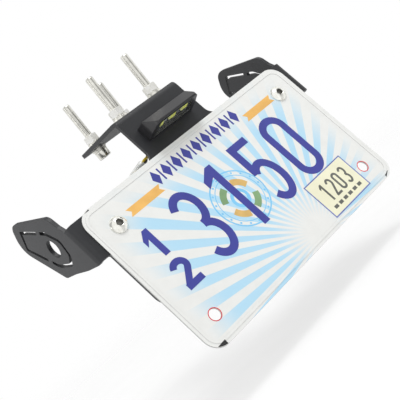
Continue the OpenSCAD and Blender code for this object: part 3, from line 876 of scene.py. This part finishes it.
class TIDY_OT_lead(bpy.types.Operator):
    """Twists the lead's two wires, folds its hank and dresses what is on it"""

    bl_idname = "tidy.lead"
    bl_label = "Lead"

    def execute(self, context):
        lead = context.scene.tidy_lead
        black = satin("black_wire", lead.sheath, 0.38, 900, RELIEF)
        yellow = satin("yellow_wire", lead.stripe, 0.38, 900, RELIEF)
        spacing = 1.1 * MM
        path = smooth_path([*LEAD_ROUTE, *hank_knots(lead)], spacing)
        points, faces, marks, length = twisted_pair(path, lead)
        cord = add_piece("lead_pair", points, faces, [black, yellow], 60)
        cord.data.polygons.foreach_set("material_index", marks)
        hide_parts("lead", "lead_hank")

        tube = clear("clear_tube", TUBE_WHITE, 0.12, 0.3)
        brass = brushed("bullet_brass", BRASS, 0.26)
        nylon = satin("tie_nylon", NYLON, 0.45, PAPER_GRAIN, RELIEF, Subsurface_Weight=0.1)
        rubber = satin("black_rubber", RUBBER, 0.6, 2500, 2 * RELIEF)
        fittings = {
            "lead_tie": nylon, "lead_guard": tube, "lead_grommet": rubber,
            "connector_left": brass, "connector_right": brass,
            "connector_sleeve_left": tube, "connector_sleeve_right": tube,
        }
        for node, material in fittings.items():
            dress(node, material)
        head = self.add_tie_head(nylon)
        return {"FINISHED"}

    def add_tie_head(self, nylon):
        """Ratchet head of the cable tie, on the side away from the plate."""
        low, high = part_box("lead_tie")
        sunk = 0.6 * MM
        middle = Vector(((low.x + high.x) / 2, high.y + TIE_HEAD.y / 2 - sunk, (low.z + high.z) / 2))
        return round_box("tie_head", middle, TIE_HEAD, Matrix.Identity(3), nylon, 0.4 * MM)


class TIDY_OT_bracket(bpy.types.Operator):
    """Gives the folded bracket its powder coat"""

    bl_idname = "tidy.bracket"
    bl_label = "Bracket"

    def execute(self, context):
        coat = satin("powder_coat", context.scene.tidy_finishes.coat, 0.42, 2600, 3 * RELIEF, 0.4 * MM,
                     vary=0.1, Specular_IOR_Level=0.4)
        dress("bracket", coat)
        return {"FINISHED"}


class TIDY_OT_number_plate(bpy.types.Operator):
    """Covers the number plate in white film with pale rays"""

    bl_idname = "tidy.number_plate"
    bl_label = "Number Plate"

    def execute(self, context):
        dress("number_plate", plate_film(context.scene.tidy_finishes, context.scene.tidy_print))
        return {"FINISHED"}


class TIDY_OT_plate_print(bpy.types.Operator):
    """Prints plain numerals, bars, rings and a sticker on the number plate"""

    bl_idname = "tidy.plate_print"
    bl_label = "Plate Print"

    def execute(self, context):
        finishes, sizes = context.scene.tidy_finishes, context.scene.tidy_print
        blue = ink("blue_ink", finishes.ink, 0.33, 0.06)
        self.add_numerals(blue, sizes)
        self.add_header(blue, sizes)
        self.add_roundel(sizes)
        self.add_bars(finishes, sizes)
        self.add_sticker(finishes, sizes)
        self.add_marks(sizes)
        return {"FINISHED"}

    def add_numerals(self, blue, sizes):
        """Four large numerals across the middle and two small ones at the left."""
        slabs = Slabs(sizes.ink_height * TOP_LAYER)
        first = Vector((-36.5, 3.7)) * MM
        for place, digit in enumerate((3, 1, 5, 0)):
            centre = first + Vector((place * sizes.numeral_pitch, 0))
            numeral(slabs, digit, centre, sizes.numeral_width, sizes.numeral_height, sizes.numeral_stroke)
        first, drop = Vector((-66.5, 13.5)) * MM, Vector((0, -22.5)) * MM
        for place, digit in enumerate((1, 2)):
            numeral(slabs, digit, first + drop * place, 12.5 * MM, 18.5 * MM, 3.9 * MM)
        slabs.piece("print_numerals", blue)

    def add_header(self, blue, sizes):
        """Row of plain lozenges and bars where such a plate has its heading."""
        slabs = Slabs(sizes.ink_height)
        count, pitch, middle = 9, 8.8 * MM, 40.5 * MM
        half_w, half_h, bar, bar_w = 2.9 * MM, 5.2 * MM, 4.2 * MM, 1.1 * MM
        for i in range(count):
            x = (i - (count - 1) / 2) * pitch
            slabs.polygon([(x, middle + half_h), (x - half_w, middle), (x, middle - half_h),
                           (x + half_w, middle)])
            if i < count - 1:
                slabs.ribbon([(x + pitch / 2, middle + bar), (x + pitch / 2, middle - bar)], bar_w)
        slabs.piece("print_header", blue)

    def add_roundel(self, sizes):
        """Pale blue rings and dots, with four short arcs of gold and green between them."""
        centre = (-6.5 * MM, 0.5 * MM)
        thin = sizes.ink_height * RING_LAYER
        slabs = Slabs(thin)
        for radius, width in ((18.2, 0.9), (15.2, 0.5), (5.2, 2.2)):
            slabs.ring(centre, radius * MM, width * MM)
        dots_r, dot_r = 16.7 * MM, 0.7 * MM
        for turn in range(0, 360, 20):
            dot = circle(centre, dots_r, turn, turn + 1, step=1)[0]
            slabs.polygon(circle(dot, dot_r, step=45)[:-1])
        slabs.piece("print_rings", ink("sky_ink", SKY_BLUE, vary=0.06))
        arcs = (("print_gold_arcs", ARC_GOLD, 20), ("print_green_arcs", ARC_GREEN, 110))
        for name, colour, start in arcs:
            slabs = Slabs(thin)
            for turn in (start, start + 180):
                slabs.ribbon(circle(centre, 10.5 * MM, turn, turn + 55), 4.2 * MM)
            slabs.piece(name, ink(name, colour))

    def add_bars(self, finishes, sizes):
        """Two gold bars with notched ends, left and right under the heading."""
        slabs = Slabs(sizes.ink_height)
        half_w, half_h, notch, y = 13.5 * MM, 2.6 * MM, 2.2 * MM, 34.5 * MM
        for x in (-50.5 * MM, 53.5 * MM):
            left, right, low, high = x - half_w, x + half_w, y - half_h, y + half_h
            slabs.polygon([(left, low), (right, low), (right - notch, y), (right, high), (left, high),
                           (left + notch, y)])
        slabs.piece("print_bars", ink("gold_ink", finishes.gold))

    def add_sticker(self, finishes, sizes):
        """Sticker at the lower right: yellow, with a blue line round it, a plain number and grey bars."""
        left, right, low, high = 29.2 * MM, 66.2 * MM, -45.8 * MM, -20.6 * MM
        corners = [(left, low), (right, low), (right, high), (left, high)]
        slabs = Slabs(sizes.ink_height * STICKER_LAYER)
        slabs.polygon(corners)
        paper = satin("sticker_paper", finishes.sticker, 0.4, PAPER_GRAIN, RELIEF, vary=0.03)
        slabs.piece("sticker", paper)
        layer = (sizes.ink_height * TOP_LAYER, sizes.ink_height)
        slabs = Slabs(*layer)
        slabs.ribbon(corners, 0.7 * MM, closed=True)
        slabs.piece("sticker_line", satin("sticker_blue", LINE_BLUE, 0.4, PAPER_GRAIN, RELIEF))
        slabs = Slabs(*layer)
        first, pitch = Vector((left + 8.8 * MM, -31.5 * MM)), Vector((6.8 * MM, 0))
        for place, digit in enumerate((1, 2, 0, 3)):
            numeral(slabs, digit, first + pitch * place, 5.2 * MM, 12.5 * MM, 1.5 * MM)
        bar, bar_w, bar_y = 3.3 * MM, 2.1 * MM, low + 4.5 * MM
        for place in range(6):
            start = left + 4.5 * MM + place * 5 * MM
            slabs.ribbon([(start, bar_y), (start + bar, bar_y)], bar_w)
        slabs.piece("sticker_bars", satin("sticker_grey", LINE_GREY, 0.4, PAPER_GRAIN, RELIEF))

    def add_marks(self, sizes):
        """Black wedges at the corners and red rings round the two lower holes."""
        corner, edge_r, rim_r = (-79.4 * MM, -41.3 * MM), 9.25 * MM, 7.52 * MM
        tip = in_mm((-80, -47.9))
        slabs = Slabs(sizes.ink_height)
        slabs.polygon(circle(corner, edge_r, 228, 267) + tip)
        slabs.polygon(in_mm((84.2, -48), (79.7, -48), (79.2, -50.3)))
        slabs.polygon(in_mm((-82.6, 49.7), (-79, 49.7), (-79, 50.5)))
        slabs.high = RIM_T + sizes.ink_height
        slabs.polygon(circle(corner, rim_r, 243, 267) + tip)
        slabs.piece("print_wedges", ink("black_ink", WEDGE_BLACK, 0.4, 0.12))
        slabs = Slabs(sizes.ink_height)
        for side in (-1, 1):
            slabs.ring((side * 73 * MM, -35.5 * MM), 3.67 * MM, 0.5 * MM)
        slabs.piece("print_hole_rings", ink("red_ink", RING_RED, 0.4, 0.12))


class TIDY_OT_tail_bolts(bpy.types.Operator):
    """Cuts the threads of the four tail bolts and dresses their nuts and washers"""

    bl_idname = "tidy.tail_bolts"
    bl_label = "Tail Bolts"

    def execute(self, context):
        threads = context.scene.tidy_threads
        steel = context.scene.tidy_finishes.steel
        bolt_steel = brushed("bolt_steel", shade(steel, 0.92), 0.16)
        # Painted shade: the sockets get a much darker copy of the same steel
        shadow = brushed("bolt_socket_painted_shade", shade(steel, 0.3), 0.35)
        # Painted highlight: the nuts get a lighter copy of the same steel, so they show bright
        nut_steel_painted_highlight = brushed("nut_steel_painted_highlight", shade(steel, 1.2), 0.3, 0.2 * MM)
        washer_steel = brushed("washer_steel", shade(steel, 1.05), 0.27, 0.15 * MM)
        spring_steel = brushed("spring_steel", shade(steel, 0.9), 0.34, 0.15 * MM)
        for stud in STUDS:
            node = f"tail_bolt_{stud}"
            low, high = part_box(node)
            matrix = Matrix.Translation(((low.x + high.x) / 2, (low.y + high.y) / 2, low.z))
            rows = tail_bolt_rows(high.z - low.z, (high.x - low.x) / 2, STUD_R, threads)
            bolt = add_turned(f"threaded_bolt_{stud}", rows, threads.segments, matrix, bolt_steel, shadow)
            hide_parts(node)
            dress(f"tail_nut_{stud}", nut_steel_painted_highlight)
            for level in ("lower", "upper"):
                dress(f"{level}_washer_{stud}", washer_steel)
                dress(f"{level}_spring_{stud}", spring_steel)
        return {"FINISHED"}


class TIDY_OT_plate_screws(bpy.types.Operator):
    """Cuts the threads of the two plate screws and dresses their nuts and washers"""

    bl_idname = "tidy.plate_screws"
    bl_label = "Plate Screws"

    def execute(self, context):
        threads = context.scene.tidy_threads
        steel = context.scene.tidy_finishes.steel
        screw_steel = brushed("screw_steel", shade(steel, 1.15), 0.14)
        # Painted shade: the sockets get a much darker copy of the same steel
        shadow = brushed("screw_socket_painted_shade", shade(steel, 0.32), 0.3)
        back_steel = brushed("back_steel", steel, 0.3, 0.2 * MM)
        turn = Matrix((ACROSS, UP, OUT)).transposed().to_4x4()
        rows = plate_screw_rows(threads)
        for side in SIDES:
            nut = node_middle(f"plate_nut_{side}")
            foot = nut + OUT * (PLATE_FACE - nut).dot(OUT)
            name, matrix = f"threaded_screw_{side}", Matrix.Translation(foot) @ turn
            screw = add_turned(name, rows, threads.segments, matrix, screw_steel, shadow)
            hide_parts(f"plate_screw_{side}")
            dress(f"plate_nut_{side}", back_steel)
            dress(f"plate_washer_{side}", back_steel)
        return {"FINISHED"}


class TIDY_OT_plate_light(bpy.types.Operator):
    """Dresses the plate light's housing, lens, board and LEDs"""

    bl_idname = "tidy.plate_light"
    bl_label = "Plate Light"

    def execute(self, context):
        finishes = context.scene.tidy_finishes
        housing = satin("moulded_plastic", finishes.plastic, 0.3, 3000, 2 * RELIEF, 0.6 * MM, 0.1)
        dress("light_housing", housing)
        dress("light_lens", clear("clear_lens", LENS_GREY, 0.03, 0.14))
        dress("light_board", satin("board_lacquer", LACQUER, 0.3, 900, 2 * RELIEF, vary=0.3))
        led = self.led_painted_glow_material(finishes)
        for place in ("left", "middle", "right"):
            dress(f"led_{place}", led)
        screw_steel = brushed("light_screw_steel", finishes.steel, 0.3, 0.1 * MM)
        for side in SIDES:
            dress(f"light_screw_{side}", screw_steel)
        self.add_chips()
        return {"FINISHED"}

    def led_painted_glow_material(self, finishes):
        """White package with a square of phosphor in its middle, and a painted glow of the phosphor's
        colour, as if the LEDs were lit.
        """
        graph = Graph("led")
        place = graph.place()
        middle = node_middle("led_middle")
        pitch = (node_middle("led_right") - middle).x
        across = graph.dot(place, ACROSS, middle)
        nearest = graph.times(graph.calc("ROUND", graph.calc("DIVIDE", across, pitch)), pitch)
        across = graph.calc("ABSOLUTE", graph.calc("SUBTRACT", across, nearest))
        out = graph.calc("ABSOLUTE", graph.dot(place, OUT, middle))
        border = graph.step(graph.calc("MAXIMUM", across, out), 2.2 * MM, 2.4 * MM)
        glow = graph.ramp(graph.noise(600, 3), shade(finishes.phosphor, 0.8), shade(finishes.phosphor, 1.2))
        graph.paint(graph.mix(border, glow, (*LED_CASE, 1)))
        graph.rough(graph.band(graph.noise(900, 2), 0.22, 0.34))
        # Painted glow: the phosphor gives off light of its own colour, though the LEDs are not lit
        graph.sockets(Emission_Color=(*finishes.phosphor, 1), Emission_Strength=0.35)
        return graph.owner

    def add_chips(self):
        """Small resistors on the board between the LEDs."""
        white = satin("chip_ceramic", CERAMIC, 0.4, PAPER_GRAIN, 2 * RELIEF)
        middle = node_middle("led_middle")
        pitch = (node_middle("led_right") - middle).x
        lift = UP * (LED_T - CHIP.y) / 2
        # Share of the LEDs' pitch across, and millimetres out
        spots = ((-0.5, 1.4), (-0.5, -1.2), (0.5, 1.4), (0.5, -1.2))
        for number, (share, out) in enumerate(spots):
            place = middle + ACROSS * share * pitch + OUT * out * MM + lift
            round_box(f"chip_{number + 1}", place, CHIP, (ACROSS, UP, OUT), white, 0.1 * MM)


class TIDY_PT_panel(bpy.types.Panel):
    """Sidebar panel with one button for each group of pieces"""

    bl_label = "Tail Tidy"
    bl_idname = "TIDY_PT_panel"
    bl_space_type = "VIEW_3D"
    bl_region_type = "UI"
    bl_category = "Tail Tidy"

    def draw(self, context):
        column = self.layout.column(align=True)
        for operator in OPERATORS:
            column.operator(operator.bl_idname, text=operator.bl_label)
        for name, kind in GROUPS.items():
            box = self.layout.box()
            for key in kind.__annotations__:
                box.prop(getattr(context.scene, name), key)


GROUPS = {
    "tidy_finishes": TidyFinishes,
    "tidy_print": TidyPrint,
    "tidy_threads": TidyThreads,
    "tidy_lead": TidyLead,
    "tidy_stage": TidyStage,
}
OPERATORS = (
    TIDY_OT_stage, TIDY_OT_lead, TIDY_OT_bracket, TIDY_OT_number_plate, TIDY_OT_plate_print,
    TIDY_OT_tail_bolts, TIDY_OT_plate_screws, TIDY_OT_plate_light,
)


def register():
    for name, group in GROUPS.items():
        bpy.utils.register_class(group)
        setattr(bpy.types.Scene, name, PointerProperty(type=group))
    for operator in OPERATORS:
        bpy.utils.register_class(operator)
    bpy.utils.register_class(TIDY_PT_panel)


def unregister():
    bpy.utils.unregister_class(TIDY_PT_panel)
    for operator in reversed(OPERATORS):
        bpy.utils.unregister_class(operator)
    for name, group in GROUPS.items():
        delattr(bpy.types.Scene, name)
        bpy.utils.unregister_class(group)


def main():
    register()
    for operator in OPERATORS:
        getattr(bpy.ops.tidy, operator.bl_idname.split(".")[1])()


if __name__ == "__main__":
    main()
